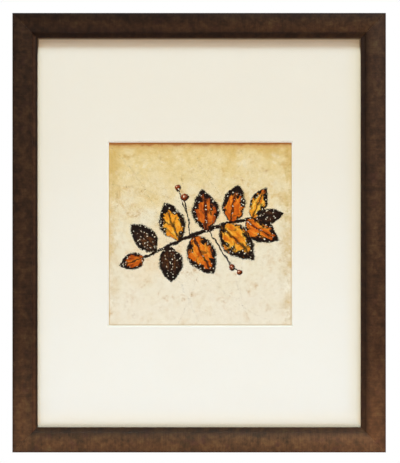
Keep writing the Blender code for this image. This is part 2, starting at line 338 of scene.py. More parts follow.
def redden(wood):
    """Painted light on the left rail's lip, laid red-brown as if lit from the right, and rails that are
    redder than others.
    """
    wood.lay(wood.strip * 0.4, (0.200, 0.076, 0.036))
    right_foot = (wood.level - wood.on_top) * wood.step(wood.x - FRAME_X, 0.03, 0.20)
    redder = wood.on_right * 0.28 + wood.on_top * 0.14 + wood.on_left * 0.08
    wood.lay(redder + right_foot * 0.24, (0.165, 0.055, 0.022))


# %% The dark glaze
SIGHT = (25.0, 26.2)
GLAZE = (0.006, 0.003, 0.003)


def glaze(wood):
    """The dark glaze, thin on the crown and thick in the lip and by the outer edge, with painted light
    by rail and height.
    """
    on_left, on_right, on_top = wood.on_left, wood.on_right, wood.on_top
    blotches, drifts = wood.blotches, wood.drifts
    outer = 1 - wood.step(wood.inward, -1.0, 12.0)
    inner = wood.step(wood.inward + (blotches - 0.5) * 4.0, 15.0, LIP_ENDS)
    # Painted light and shade by rail: the top rail's outer edge is darker and the right one's lighter,
    # the left and top lips are lighter, and the left rail darkens again at its sight edge
    left = outer * (0.36 + on_top * 0.26 - on_right * 0.24)
    left = left + inner * (0.62 - on_left * 0.50 - on_top * 0.20)
    sight = on_left * wood.step(wood.inward, *SIGHT)
    clear = 1 - left - wood.rim * 0.10 + wood.strip * 0.56 - sight * 0.38

    # Painted light: the glaze is thicker towards the top and the left, and thins out over the foot of
    # the frame and towards the right, so the lower and right parts look lit
    height = (wood.z - FRAME_BOTTOM) / FRAME_HEIGHT
    across = (wood.x - FRAME_LEFT) / FRAME_WIDTH
    foot = 1 - wood.step(height + (drifts - 0.5) * 0.15, -0.02, 0.30)
    crest = wood.step(height, 0.60, 1.0)
    glaze_painted_light_by_height = 0.42 + foot * 0.58 - crest * 0.09
    glaze_painted_light_by_side = 0.59 + wood.step(across, 0.3, 1.0) * 0.20 + on_top * (across - 0.5) * 0.24
    glaze_painted_light_by_side = glaze_painted_light_by_side + wood.level * foot * wood.step(across, 0.70, 0.96) * 0.20
    glaze_painted_light_left_waist = on_left * (1 - foot) * (1 - crest)

    # It lies unevenly, in fine dabs everywhere and in wider patches above the foot
    dabs = wood.noise(wood.place, 420.0, 3.0, 0.6)
    patchy = (blotches - 0.5) * 0.7 + (drifts - 0.5) * (1 - on_right) * 0.6
    uneven = (0.68 + dabs * 0.64) * (1 + (1 - foot) * patchy)
    rubbed_and_painted_light = clear * glaze_painted_light_by_height * glaze_painted_light_by_side * (1 - glaze_painted_light_left_waist * 0.2) * uneven
    wood.lay(1 - rubbed_and_painted_light, GLAZE)


# %% Moulding finish
WALL = (26.9, 27.1)
WALL_DEPTHS = (0.0052, 0.0056)
BARE_BACK = 0.0004
BRONZE_SHARE = 0.25


def make_moulding_finish():
    """Rubbed bronze-brown over wood, bare wood behind and painted shade on the sight edge's wall."""
    wood = Moulding("Rubbed bronze-brown moulding", Specular_IOR_Level=0.12)
    dab(wood)
    redden(wood)
    glaze(wood)
    place = wood.point(wood.x * 60.0, wood.y * 900.0, wood.z * 700.0)
    grain = wood.noise(place, 1.0, 4.0)
    bare_wood = wood.ramp(grain, [(0.35, (0.36, 0.22, 0.11)), (0.65, (0.58, 0.40, 0.22))])
    bare = wood.step(wood.y, FRAME_BACK - BARE_BACK, FRAME_BACK - BARE_BACK / 2)
    wood.lay(bare, bare_wood)
    # Painted shade: the wall below the sight edge, down in the recess, is laid nearly black
    wall = wood.step(wood.inward, *WALL) * wood.step(wood.y - FRAME_FRONT, *WALL_DEPTHS)
    wood.lay(wall, (0.08, 0.036, 0.016))
    wood.drive("Base Color", wood.colour)
    wood.drive("Metallic", (1 - bare.most(wall)) * BRONZE_SHARE)
    dull = bare * 0.22 + wood.lip.most(wood.rim) * 0.23 + wall * 0.30
    wood.drive("Roughness", 0.36 + wood.blotches * 0.22 + dull)
    wood.relief(wood.blotches * 0.5 + wood.marks * 0.5, 0.00025)
    return wood.material


moulding_finish = make_moulding_finish()
print("made", moulding_finish.name)

# %% [markdown]
# ## The section of the moulding
#
# A moulding is planed as one long section. The same is done here: one upright face is cut to the
# section, and the face is extruded later, once for each rail. The face starts as a plane of the
# blank's size. Bisecting it in both directions and deleting a corner mills the rabbet, a vertex
# bevel rounds the outer edge, and the front edge is subdivided and its points moved back onto the
# crown, the crease and the cove.

# %% Tools for working in edit mode
TINY = 1e-5


def start_piece(name):
    """Name the primitive that was just added, put its place into its mesh, and return it."""
    piece = bpy.context.object
    piece.name = name
    piece.data.name = name
    bpy.ops.object.transform_apply(location=True, rotation=True, scale=True)
    return piece


def only(piece):
    """Select this object alone and make it active."""
    bpy.ops.object.select_all(action="DESELECT")
    piece.select_set(True)
    bpy.context.view_layer.objects.active = piece


def pick(piece, kind, test):
    """In edit mode, select the vertices, edges or faces whose middle passes a test."""
    bpy.ops.mesh.select_mode(type=kind)
    bpy.ops.mesh.select_all(action="DESELECT")
    bpy.ops.object.mode_set(mode="OBJECT")
    mesh = piece.data
    points = [vertex.co for vertex in mesh.vertices]
    items = {"VERT": mesh.vertices, "EDGE": mesh.edges, "FACE": mesh.polygons}[kind]
    picked = 0
    for item in items:
        corners = [item.co] if kind == "VERT" else [points[index] for index in item.vertices]
        middle = sum(corners[1:], corners[0].copy()) / len(corners)
        item.select = bool(test(middle))
        picked += item.select
    bpy.ops.object.mode_set(mode="EDIT")
    return picked


def cut(place, normal, keep_side=False):
    """Bisect everything by a plane; with keep_side, remove what lies past it and close the cut."""
    bpy.ops.mesh.select_all(action="SELECT")
    bpy.ops.mesh.bisect(plane_co=place, plane_no=normal, use_fill=keep_side, clear_outer=keep_side)


def bake_modifier(piece, kind, **settings):
    """Give an object a modifier and apply it."""
    only(piece)
    modifier = piece.modifiers.new(kind.lower(), kind)
    for name, value in settings.items():
        setattr(modifier, name, value)
    bpy.ops.object.modifier_apply(modifier=modifier.name)


# %% Depth of the moulding's face
CROWN_RADIUS = 0.0440
CROWN_PEAK = 0.0100
EDGE_RADIUS = 0.0016
CREASE_AT = 0.0216
CREASE_WIDTH = 0.0004
CREASE_DROP = 0.0007
COVE_DROP = 0.0024
SIGHT_RADIUS = 0.0004
BACK_CHAMFER = 0.0005


def face_depth(inward):
    """How far the moulding's face lies behind its front plane, at a distance in from the edge."""
    crown = CROWN_RADIUS - math.sqrt(CROWN_RADIUS**2 - (min(inward, CREASE_AT) - CROWN_PEAK) ** 2)
    if inward <= CREASE_AT:
        return crown
    if inward <= CREASE_AT + CREASE_WIDTH:
        return crown + CREASE_DROP * (inward - CREASE_AT) / CREASE_WIDTH
    share = (inward - CREASE_AT - CREASE_WIDTH) / (RAIL_WIDTH - CREASE_AT - CREASE_WIDTH)
    return crown + CREASE_DROP + COVE_DROP * math.sqrt(1 - (1 - min(share, 1.0)) ** 2)


# %% Cut the section
FACE_CUTS = 71


def make_section():
    """Cut one upright face to the moulding's section: outer edge at z = 0, front at y = 0."""
    bpy.ops.object.select_all(action="DESELECT")
    middle = (0.0, FRAME_DEPTH / 2, -RAIL_WIDTH / 2)
    bpy.ops.mesh.primitive_plane_add(size=1.0, rotation=(0.0, math.pi / 2, 0.0), location=middle)
    section = bpy.context.object
    section.scale = (RAIL_WIDTH, FRAME_DEPTH, 1.0)
    section = start_piece("moulding_section")
    bpy.ops.object.mode_set(mode="EDIT")

    # Mill the rabbet
    cut((0.0, LIP_DEPTH, 0.0), (0.0, 1.0, 0.0))
    cut((0.0, 0.0, -BACK_WIDTH), (0.0, 0.0, 1.0))
    pick(section, "FACE", lambda p: p.y > LIP_DEPTH and p.z < -BACK_WIDTH)
    bpy.ops.mesh.delete(type="FACE")
    bpy.ops.mesh.select_all(action="SELECT")
    bpy.ops.mesh.dissolve_limited(angle_limit=math.radians(1.0))

    # Round the outer edge, then lay the front edge back onto the crown, the crease and the cove
    pick(section, "VERT", lambda p: p.y < TINY and p.z > -TINY)
    bpy.ops.mesh.bevel(offset=EDGE_RADIUS, offset_type="OFFSET", segments=8, affect="VERTICES")
    pick(section, "EDGE", lambda p: p.y < TINY and p.z < -EDGE_RADIUS)
    bpy.ops.mesh.subdivide(number_cuts=FACE_CUTS)
    bpy.ops.object.mode_set(mode="OBJECT")
    places = sorted({round(v.co.z, 7) for v in section.data.vertices if v.co.y < EDGE_RADIUS})
    bpy.ops.object.mode_set(mode="EDIT")
    for place in places:
        pick(section, "VERT", lambda p: p.y < EDGE_RADIUS + TINY and abs(p.z - place) < TINY / 10)
        bpy.ops.transform.translate(value=(0.0, face_depth(max(-place, EDGE_RADIUS)), 0.0))

    # Break the edge at the glass, and the back edge outside
    pick(section, "VERT", lambda p: p.z < -RAIL_WIDTH + TINY and p.y < LIP_DEPTH - TINY)
    bpy.ops.mesh.bevel(offset=SIGHT_RADIUS, segments=3, affect="VERTICES", clamp_overlap=True)
    pick(section, "VERT", lambda p: p.z > -TINY and p.y > FRAME_DEPTH - TINY)
    bpy.ops.mesh.bevel(offset=BACK_CHAMFER, segments=1, affect="VERTICES")
    bpy.ops.object.mode_set(mode="OBJECT")
    return section


section = make_section()
print("the section has", len(section.data.vertices), "points")

# %% [markdown]
# ## Four mitred rails
#
# A framer saws each length at 45 degrees and glues the corners. Here a copy of the section is
# extruded to the rail's length, and two bisects with the cut closed are the saw. A fine bevel round
# each sawn end leaves the hairline that shows where two rails meet. The frame could be one mesh with
# four corners, but then it would have no mitres to see.

# %% Rails
HAIRLINE = 0.00004
SAWN_BEVEL = 0.00012
RAIL_SMOOTH_ANGLE = math.radians(24.0)


def make_rail(side, length, outer_middle, turn):
    """Extrude the section to a length, saw both mitres and set the rail in its place."""
    only(section)
    bpy.ops.object.duplicate()
    rail = bpy.context.object
    rail.name = f"moulding_{side}"
    rail.data.name = rail.name
    bpy.ops.object.mode_set(mode="EDIT")
    bpy.ops.mesh.select_all(action="SELECT")
    bpy.ops.transform.translate(value=(-length / 2, 0.0, 0.0))
    bpy.ops.mesh.extrude_region_move(TRANSFORM_OT_translate={"value": (length, 0.0, 0.0)})
    bpy.ops.mesh.select_all(action="SELECT")
    bpy.ops.mesh.normals_make_consistent(inside=False)
    for end in (1, -1):
        cut((end * (length / 2 - HAIRLINE), 0.0, 0.0), (end, 0.0, -1.0), keep_side=True)
        bpy.ops.mesh.bevel(offset=SAWN_BEVEL, segments=2, affect="EDGES", clamp_overlap=True)
    bpy.ops.object.mode_set(mode="OBJECT")
    rail.location = outer_middle
    rail.rotation_euler = (0.0, turn, 0.0)
    bpy.ops.object.transform_apply(location=True, rotation=True, scale=True)
    bpy.ops.object.shade_smooth_by_angle(angle=RAIL_SMOOTH_ANGLE)
    rail.data.materials.clear()
    rail.data.materials.append(moulding_finish)
    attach(rail, "root")
    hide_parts(f"frame_rail_{side}")
    return rail


quarter = math.pi / 2
rails = [
    make_rail("top", FRAME_WIDTH, (FRAME_X, FRAME_FRONT, FRAME_TOP), 0.0),
    make_rail("right", FRAME_HEIGHT, (FRAME_RIGHT, FRAME_FRONT, FRAME_Z), quarter),
    make_rail("bottom", FRAME_WIDTH, (FRAME_X, FRAME_FRONT, FRAME_BOTTOM), 2 * quarter),
    make_rail("left", FRAME_HEIGHT, (FRAME_LEFT, FRAME_FRONT, FRAME_Z), -quarter),
]
only(section)
bpy.ops.object.delete()
for rail in rails:
    print(rail.name, len(rail.data.polygons), "faces")

# %% [markdown]
# ## Dressing a solid
#
# A flat board needs no new shape, since its solid is already right. Such a piece keeps its own mesh
# and only gets a finish, by putting the finish into its material slots.


# %% Put a finish on a solid
def dress(names, finish):
    """Give solids a finish in every material slot."""
    for name in names:
        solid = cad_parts[name]
        if not solid.material_slots:
            solid.data.materials.append(finish)
        for slot in solid.material_slots:
            slot.material = finish
    print(finish.name, "on", ", ".join(names))


# %% [markdown]
# ## The window mat
#
# A mat is a thick cotton board with an ivory surface paper. Its window is cut with the knife held at
# 45 degrees, which lays bare the white core all the way round. The core is found from the place alone:
# it begins where the distance from the window's middle drops below the front of the cut. Light and
# shade are painted into the board. It is warmer and a little darker towards the top, warm shade is
# painted beside the wood and above the foot, a painted shadow lies right at the wood, and the lower
# cut is painted darker as shade.

# %% Mat board
MAT_THICKNESS = 1.5
WARM_BESIDE = 20.0
WARM_ABOVE_FOOT = 24.0
PAINTED_SHADE_REACH = 5.0
CORE_BLUR = 0.10
TAN = (0.84, 0.74, 0.52)


def make_mat_finish():
    """Ivory paper with a fine tooth, painted light and shade, and the white core in the cut."""
    finish = Finish("Ivory mat board", Roughness=0.92, Specular_IOR_Level=0.25)
    off_middle = abs((finish.x - WINDOW_X) * MM).most(abs((finish.z - WINDOW_Z) * MM))
    cut_ends = WINDOW_SIZE / 2 * MM + MAT_THICKNESS
    tooth = finish.noise(finish.place, 1400.0, 3.0, 0.6)
    clouds = finish.noise(finish.place, 11.0, 2.0, 0.5)
    # Painted light: the board is warmer and a little darker towards the top
    height = (finish.z - FRAME_BOTTOM) / FRAME_HEIGHT
    mat_painted_light_by_height = finish.step(height + (clouds - 0.5) * 0.2, 0.05, 0.85)
    finish.colour = finish.blend(mat_painted_light_by_height, (0.900, 0.898, 0.870), (0.840, 0.790, 0.700))
    finish.lay(finish.step(tooth, 0.50, 0.80) * 0.20, (0.82, 0.78, 0.69))

    # Painted warm shade: for some way from the side and bottom rails the board is a little warmer
    from_side, from_end = from_edges(finish)
    on_right = past_middle(finish, finish.x - FRAME_X)
    beside = 1 - finish.step(from_side - RAIL_WIDTH * MM, 0.0, WARM_BESIDE)
    painted_warm_shade_tint = finish.blend(on_right, (0.98, 0.90, 0.69), TAN)
    finish.lay(beside * (0.22 + on_right * 0.22), painted_warm_shade_tint)
    from_foot = (finish.z - FRAME_BOTTOM - RAIL_WIDTH) * MM
    painted_shade_above_foot = 1 - finish.step(from_foot, 0.0, WARM_ABOVE_FOOT)
    finish.lay(painted_shade_above_foot * 0.85, (0.985, 0.945, 0.845))

    # Painted shade: close to the wood the board is laid tan, warmer still above the foot
    clear_of_rail = from_side.least(from_end) - RAIL_WIDTH * MM
    painted_shade_by_wood = 1 - finish.step(clear_of_rail, -1.0, PAINTED_SHADE_REACH)
    finish.lay(painted_shade_by_wood * (0.60 + on_right * 0.3), TAN)
    foot = 1 - finish.step(height, 0.07, 0.10)
    finish.lay(painted_shade_by_wood * foot * 0.65, (0.985, 0.800, 0.58))

    # A painted shadow: right at the wood it is nearly as dark as the wood, most of all under the top
    # rail
    under_top = finish.step(height, 0.90, 0.93)
    painted_contact_shadow = 1 - finish.step(clear_of_rail - under_top * 1.4, -0.9, 0.4)
    finish.lay(painted_contact_shadow * 0.8, (0.11, 0.065, 0.038))

    # The core is white, with painted shade on the lower cut
    foot_of_window = finish.z - WINDOW_Z + WINDOW_SIZE / 2
    painted_shade_lower_cut = 1 - finish.step(foot_of_window, -0.001, 0.002)
    white = finish.blend(painted_shade_lower_cut, (0.97, 0.96, 0.93), (0.80, 0.78, 0.70))
    core = 1 - finish.step(off_middle, cut_ends - CORE_BLUR, cut_ends)
    finish.lay(core, white)
    finish.drive("Base Color", finish.colour)
    finish.relief(tooth, 0.00012)
    return finish.material


dress(["window_mat"], make_mat_finish())

# %% [markdown]
# ## Picture glass
#
# The pane is clear, so almost nothing of it shows from the front but a faint reflection. It is real
# glass in the shader, with its own refraction. Its shadow is switched off, because a path tracer
# would otherwise darken everything behind it, and the lamps then light the mat straight through it.


# %% Glass
def make_glass():
    """Clear glass with a faint wiped look in its gloss."""
    tint = (0.985, 0.992, 0.988, 1.0)
    finish = Finish("Picture glass", Base_Color=tint, Transmission_Weight=1.0, IOR=1.5)
    wiped = finish.noise(finish.point(finish.x * 3.0, finish.y, finish.z * 9.0), 1.0, 2.0)
    finish.drive("Roughness", 0.004 + wiped * 0.008)
    return finish.material


dress(["glass_pane"], make_glass())
glass_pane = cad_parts["glass_pane"]
glass_pane.visible_shadow = False
glass_pane.visible_diffuse = False

# %% [markdown]
# ## The painted sheet
#
# Behind the window is a painting on paper: an ochre ground, warm and blotchy at the top and cream
# below, with a spray of autumn leaves and berries laid over it on a slant. It could be modelled in
# relief, but paint is only colour, so all of it is painted by the shader. Places are in millimetres
# from the middle of the window. A noise shifts them a little first, which gives every stroke a
# brushed edge. Colours are written as they look on a screen, from 0 to 255.

# %% Tools for painting
HALF = WINDOW_SIZE / 2 * MM


def tone(red, green, blue):
    """A colour as it looks on a screen, as the numbers that light adds up in."""
    shares = [value / 255 for value in (red, green, blue)]
    return tuple(s / 12.92 if s <= 0.04045 else ((s + 0.055) / 1.055) ** 2.4 for s in shares)


class Painting(Finish):
    """The painted sheet's finish, with the places and grains that every stroke shares."""

    def __init__(self, name, **constants):
        super().__init__(name, **constants)
        self.level = (self.x - WINDOW_X) * MM
        self.height = (self.z - WINDOW_Z) * MM
        self.flat = self.point(self.level, self.height, 0.0)
        sway = self.parts(self.noise(self.flat, 0.10, 3.0, 0.55, "Color"))
        fray = self.parts(self.noise(self.flat, 0.75, 3.0, 0.6, "Color"))
        self.right = self.level + (sway[0] - 0.5) * 7.0 + (fray[0] - 0.5) * 2.2
        self.up = self.height + (sway[1] - 0.5) * 7.0 + (fray[1] - 0.5) * 2.2
        self.inset = HALF - abs(self.level).most(abs(self.height))
        self.grain = self.noise(self.flat, 1.1, 4.0, 0.65)
        self.cloud = self.noise(self.shifted(3.0), 0.045, 5.0, 0.62)

    def shifted(self, seed):
        """The shifted place on the sheet, in a layer of noise of its own."""
        return self.point(self.right, self.up, seed)

    def far_from(self, middle):
        """How far a place lies from this one."""
        right = self.right - middle[0]
        up = self.up - middle[1]
        return (right * right + up * up) ** 0.5

    def turned(self, base, slant):
        """How far a place lies along a line from a base, at a slant in degrees, and to its side."""
        cosine = math.cos(math.radians(slant))
        sine = math.sin(math.radians(slant))
        right = self.right - base[0]
        up = self.up - base[1]
        return right * cosine + up * sine, up * cosine - right * sine


# %% The ground
def paint_ground(sheet):
    """An ochre ground, blotchy above and at the sides, paling to cream below, with small marks."""
    height = (sheet.height + HALF) / (2 * HALF)
    warmth = height + (sheet.cloud - 0.5) * 0.9 - sheet.step(sheet.inset, 0.0, 16.0) * 0.08
    sheet.colour = sheet.ramp(
        warmth,
        [
            (0.00, tone(237, 229, 212)),
            (0.38, tone(234, 225, 202)),
            (0.62, tone(231, 214, 174)),
            (0.84, tone(228, 206, 152)),
            (1.00, tone(219, 189, 122)),
        ],
    )
    stain = sheet.noise(sheet.shifted(19.0), 0.085, 6.0, 0.72)
    strength = sheet.step(height, 0.10, 1.0) * 0.50 + 0.18
    sheet.lay(sheet.step(stain, 0.53, 0.70) * strength, tone(206, 164, 88))
    sheet.lay((1 - sheet.step(stain, 0.30, 0.46)) * 0.35, tone(246, 240, 224))
    fleck = sheet.step(sheet.grain, 0.56, 0.78) * sheet.step(stain, 0.44, 0.64)
    sheet.lay(fleck * 0.45, tone(186, 140, 72))

    # Small wiry marks, where the ground was scratched or the paint crept into a crease
    scratch = sheet.noise(sheet.shifted(41.0), 0.16, 3.0, 0.5)
    wire = 1 - sheet.step(abs(scratch - 0.5), 0.0, 0.010)
    here = sheet.step(sheet.noise(sheet.flat, 0.035, 2.0), 0.56, 0.68)
    sheet.lay(wire * here * sheet.grain * 0.9, tone(158, 112, 58))
    smudge = sheet.noise(sheet.shifted(63.0), 0.062, 6.0, 0.78)
    sheet.lay(sheet.step(smudge, 0.54, 0.70) * 0.55, tone(204, 164, 104))
    blot = sheet.step(smudge, 0.60, 0.70) * sheet.step(sheet.grain, 0.44, 0.58)
    sheet.lay(blot * 0.6, tone(146, 106, 66))
    specks = sheet.cells(sheet.flat, 0.42)
    sparse = sheet.step(sheet.cloud, 0.44, 0.6)
    sheet.lay((1 - sheet.step(specks, 0.05, 0.12)) * sparse * 0.5, tone(150, 108, 58))

    # A fine greenish-brown mottle everywhere, stronger above and near the sides
    mottle = sheet.noise(sheet.point(sheet.level, sheet.height, 27.0), 0.24, 5.0, 0.75)
    past_sides = HALF - abs(sheet.level).most(sheet.height)
    near_side = 1 - sheet.step(past_sides + (stain - 0.5) * 16.0, 0.0, 17.0)
    near_side = near_side * (1 + sheet.step(sheet.level, 0.0, 90.0) * 0.5)
    mottled = sheet.step(mottle, 0.46, 0.72)
    sheet.lay(mottled * (0.20 + height * 0.16 + near_side * 0.30), tone(186, 160, 92))
    sheet.lay(near_side * sheet.step(sheet.cloud, 0.36, 0.62) * 0.42, tone(202, 166, 96))
    sheet.lay((1 - sheet.step(mottle, 0.28, 0.44)) * 0.30, tone(250, 244, 224))

    # Just inside the window's edges runs a darker ochre line, and at the top a ragged band of burnt
    # orange, partly paint and partly a painted shadow of the mat's top edge
    side = 1 - sheet.step(sheet.inset + (sheet.grain - 0.5) * 2.0, 0.4, 1.6)
    sheet.lay(side * 0.60, tone(196, 160, 96))
    ragged = HALF - sheet.height + (stain - 0.5) * 9.0 + (sheet.grain - 0.5) * 3.0
    sheet.lay((1 - sheet.step(ragged, 3.0, 8.5)) * 0.70, tone(206, 160, 96))
    sheet.lay((1 - sheet.step(ragged, 1.6, 4.2)) * 0.85, tone(166, 102, 50))


# %% [markdown]
# ## The spray of leaves
#
# A leaf is a lens: at each place along its rib it is as wide as a curve says, and what lies inside is
# painted. Streaks run along it, a rib and side veins cross it, and a loaded brush has left its rim
# nearly black, broad at the tip. Pale specks are spattered on, and they show on the dark paint alone.
# All leaves share one recipe and differ in their place, slant, size and colours.

# %% Leaf recipe
AMBER = (tone(206, 98, 18), tone(236, 158, 40), tone(244, 208, 92))
BURNT = (tone(168, 62, 12), tone(218, 108, 22), tone(238, 164, 52))
RUST = (tone(112, 42, 14), tone(190, 84, 20), tone(228, 132, 38))
UMBER = (tone(22, 14, 12), tone(44, 27, 19), tone(104, 62, 30))
INK = tone(26, 16, 13)
RIB = tone(62, 30, 16)


def paint_leaf(sheet, base, slant, length, half_width, colours, bend, seed):
    """Paint one leaf from its base, at a slant in degrees, over what is there."""
    along, aside = sheet.turned(base, slant)
    along = along / length
    bowed = along * (1 - along) * bend
    across = abs(aside / half_width - bowed)
    lens = along.most(0.0) ** 0.8 * (1 - along) * 3.44
    inside = lens - across + (sheet.grain - 0.5) * 0.55
    streaks = sheet.noise(sheet.point(along * 1.4, across * 4.0, seed), 1.0, 4.0, 0.62)
    dark, middle, bright = colours
    patches = sheet.noise(sheet.shifted(seed), 0.13, 3.0, 0.6)
    mixed = streaks * 0.6 + patches * 0.4 + across * 0.08 - 0.02
    leaf = sheet.ramp(mixed, [(0.38, dark), (0.49, middle), (0.60, bright)])
    veins = (along * 3.6 - across * 1.2 + streaks * 1.3).zigzag(0.5)
    leaf = sheet.blend((1 - sheet.step(veins - (patches - 0.5) * 0.5, 0.02, 0.12)) * 0.7, leaf, RIB)
    leaf = sheet.blend((1 - sheet.step(across - 0.03 * (1 - along), 0.03, 0.09)) * 0.85, leaf, INK)
    rim = along * 0.38 + (streaks - 0.5) * 1.0 + (patches - 0.5) * 1.5 + 0.22
    leaf = sheet.blend(1 - sheet.step(inside - rim, -0.04, 0.06), leaf, INK)
    sheet.lay(sheet.step(inside, 0.0, 0.08) * (0.87 + streaks * 0.35).least(1.0), leaf)


# %% Stem and berries
STEM_LEFT = -84.0
STEM_RIGHT = 66.0
STEM_END_BLUR = 1.5
STEM_RISE = (2.0, 0.36, -0.0015)


def stem_height(right):
    """How high the stem runs, for a place as a plain number or on the sheet."""
    return right * right * STEM_RISE[2] + right * STEM_RISE[1] + STEM_RISE[0]


def paint_stem(sheet):
    """Paint the long curved stem, thick at its foot, in a faint glow of the same colours."""
    right = sheet.right
    off = abs(sheet.up - stem_height(right))
    glow = (1 - sheet.step(off, 6.0, 40.0)) * (1 - sheet.step(abs(right), 60.0, 92.0))
    sheet.lay(glow * sheet.cloud * 0.45, tone(232, 184, 104))
    half_thick = 2.6 - abs(right - 12.0) * 0.014 + (sheet.grain - 0.5) * 4.0
    strip = 1 - sheet.step(off - half_thick, -0.25, 0.25)
    begun = sheet.step(right, STEM_LEFT, STEM_LEFT + STEM_END_BLUR)
    ended = sheet.step(right, STEM_RIGHT, STEM_RIGHT + STEM_END_BLUR)
    cover = (0.84 + sheet.grain * 0.4).least(1.0)
    sheet.lay(strip * (begun * (1 - ended)) * cover, INK)


def paint_stalk(sheet, base, slant, length):
    """Paint one thin straight stalk from its base, at a slant in degrees."""
    along, aside = sheet.turned(base, slant)
    off = abs(aside).most(abs(along - length / 2) - length / 2)
    sheet.lay(1 - sheet.step(off + (sheet.grain - 0.5) * 1.6, 0.45, 1.0), INK)


def paint_berry(sheet, middle, radius):
    """Paint a dark berry with a pale glint."""
    far = sheet.far_from(middle) / radius
    near = sheet.far_from((middle[0] - radius * 0.3, middle[1] + radius * 0.3)) / radius
    berry = sheet.blend(1 - sheet.step(near, 0.2, 1.2), INK, tone(150, 62, 26))
    berry = sheet.blend(1 - sheet.step(near, 0.08, 0.24), berry, tone(244, 232, 206))
    sheet.lay(1 - sheet.step(far + (sheet.grain - 0.5) * 0.3, 0.9, 1.05), berry)


# %% Paint the sheet
# Each leaf: its place along the stem, slant, length, half width, colours, bend and seed
LEAVES = [
    (58.0, 66.0, 38.0, 10.0, AMBER, 0.3, 1.0),
    (65.0, 8.0, 28.0, 9.0, UMBER, -0.3, 2.0),
    (34.0, 78.0, 44.0, 14.0, BURNT, 0.4, 3.0),
    (50.0, -32.0, 45.0, 14.0, BURNT, -0.4, 4.0),
    (6.0, 94.0, 47.0, 16.0, RUST, -0.35, 5.0),
    (22.0, -46.0, 54.0, 17.5, AMBER, 0.45, 6.0),
    (-22.0, 112.0, 46.0, 15.0, AMBER, 0.4, 7.0),
    (-8.0, -62.0, 50.0, 17.0, BURNT, -0.4, 8.0),
    (-48.0, 136.0, 42.0, 13.0, UMBER, -0.3, 9.0),
    (-36.0, -84.0, 42.0, 14.0, UMBER, 0.35, 10.0),
    (-62.0, 196.0, 30.0, 10.0, RUST, 0.3, 11.0),
]
# Each stalk: its base, slant and length
STALKS = [
    ((-11.0, stem_height(-11.0)), 98.0, 45.0),
    ((-14.5, 22.0), 110.0, 31.0),
    ((9.0, stem_height(9.0)), -58.0, 49.0),
    ((26.0, -22.0), -51.0, 27.0),
]
# Each berry: its middle and radius
BERRIES = [
    ((-17.0, 41.0), 4.2),
    ((-25.0, 51.0), 3.4),
    ((36.0, -37.0), 4.0),
    ((43.0, -43.0), 3.2),
]


def make_painted_finish():
    """The whole painting, from the ground up."""
    sheet = Painting("Painted leaves on an ochre ground", Specular_IOR_Level=0.06)
    paint_ground(sheet)
    paint_stem(sheet)
    for stalk in STALKS:
        paint_stalk(sheet, *stalk)
    for right, *shape in reversed(LEAVES):
        paint_leaf(sheet, (right, stem_height(right)), *shape)
    for berry in BERRIES:
        paint_berry(sheet, *berry)

    # Arithmetic reads a colour as its grey, which tells dark paint from light
    drops = sheet.cells(sheet.shifted(5.0), 0.34)
    on_dark = 1 - sheet.step(sheet.colour * 1.0, 0.03, 0.09)
    sheet.lay((1 - sheet.step(drops, 0.17, 0.24)) * on_dark * 0.95, tone(246, 236, 212))
    sheet.drive("Base Color", sheet.colour)
    sheet.drive("Roughness", 0.62 + sheet.grain * 0.3)
    sheet.relief(sheet.grain, 0.00015)
    return sheet.material


dress(["painted_sheet"], make_painted_finish())

# %% [markdown]
# ## The stack behind the picture
#
# Behind the painting lie the board that it is hinged to and a foam-cored backing board, and flat
# steel points hold them in. They are closed in by the dust cover, yet they show when the part is
# taken apart, so each has its own finish. Galvanised steel has grey patches with a soft edge, the
# zinc crystals.

# %% Boards and points


def make_board_finish(name, light, dark, fibre_size):
    """A pressed board: a pale ground with short fibres and a fine tooth."""
    finish = Finish(name, Roughness=0.9, Specular_IOR_Level=0.3)
    fibres = finish.noise(finish.point(finish.x * 3.0, finish.y * 6.0, finish.z), fibre_size, 5.0, 0.7)
    tooth = finish.noise(finish.place, 1600.0, 2.0)
    finish.drive("Base Color", finish.blend(finish.step(fibres, 0.35, 0.70), light, dark))
    finish.relief(tooth, 0.00012)
    return finish.material


def make_zinc():
    """Galvanised steel with its crystals."""
    finish = Finish("Galvanised steel", Metallic=1.0)
    crystals = finish.cells(finish.place, 420.0, output="Color")
    shade = finish.parts(crystals)[0]
    finish.drive("Base Color", finish.blend(shade, (0.52, 0.53, 0.53), (0.70, 0.71, 0.70)))
    finish.drive("Roughness", 0.34 + shade * 0.16)
    return finish.material


cotton = make_board_finish("Cotton mount board", (0.86, 0.84, 0.78), (0.80, 0.77, 0.70), 260.0)
liner = make_board_finish("Foam board liner", (0.84, 0.84, 0.82), (0.78, 0.77, 0.74), 320.0)
dress(["mount_board"], cotton)
dress(["backing_board"], liner)
points = [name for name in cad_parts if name.startswith("framer_point")]
dress(points, make_zinc())

# %% [markdown]
# ## The dust cover
#
# Brown kraft paper is glued to the back of the frame all round. Dampened before it is glued, it
# dries nearly tight, dips a little between the rails and keeps a few long soft ripples. The solid is
# a flat sheet, so a grid of the same size takes its place. Its inner points are pulled forward a
# little, a displacement gives the ripples, and it gets its thickness last.

# %% Kraft paper
COVER_CELLS = (84, 98)
COVER_DIP = 0.0006
RIPPLE = 0.0009
RIPPLE_SIZE = 0.10
GLUE_LINE = 0.006
SMOOTH_ANGLE = math.radians(40.0)


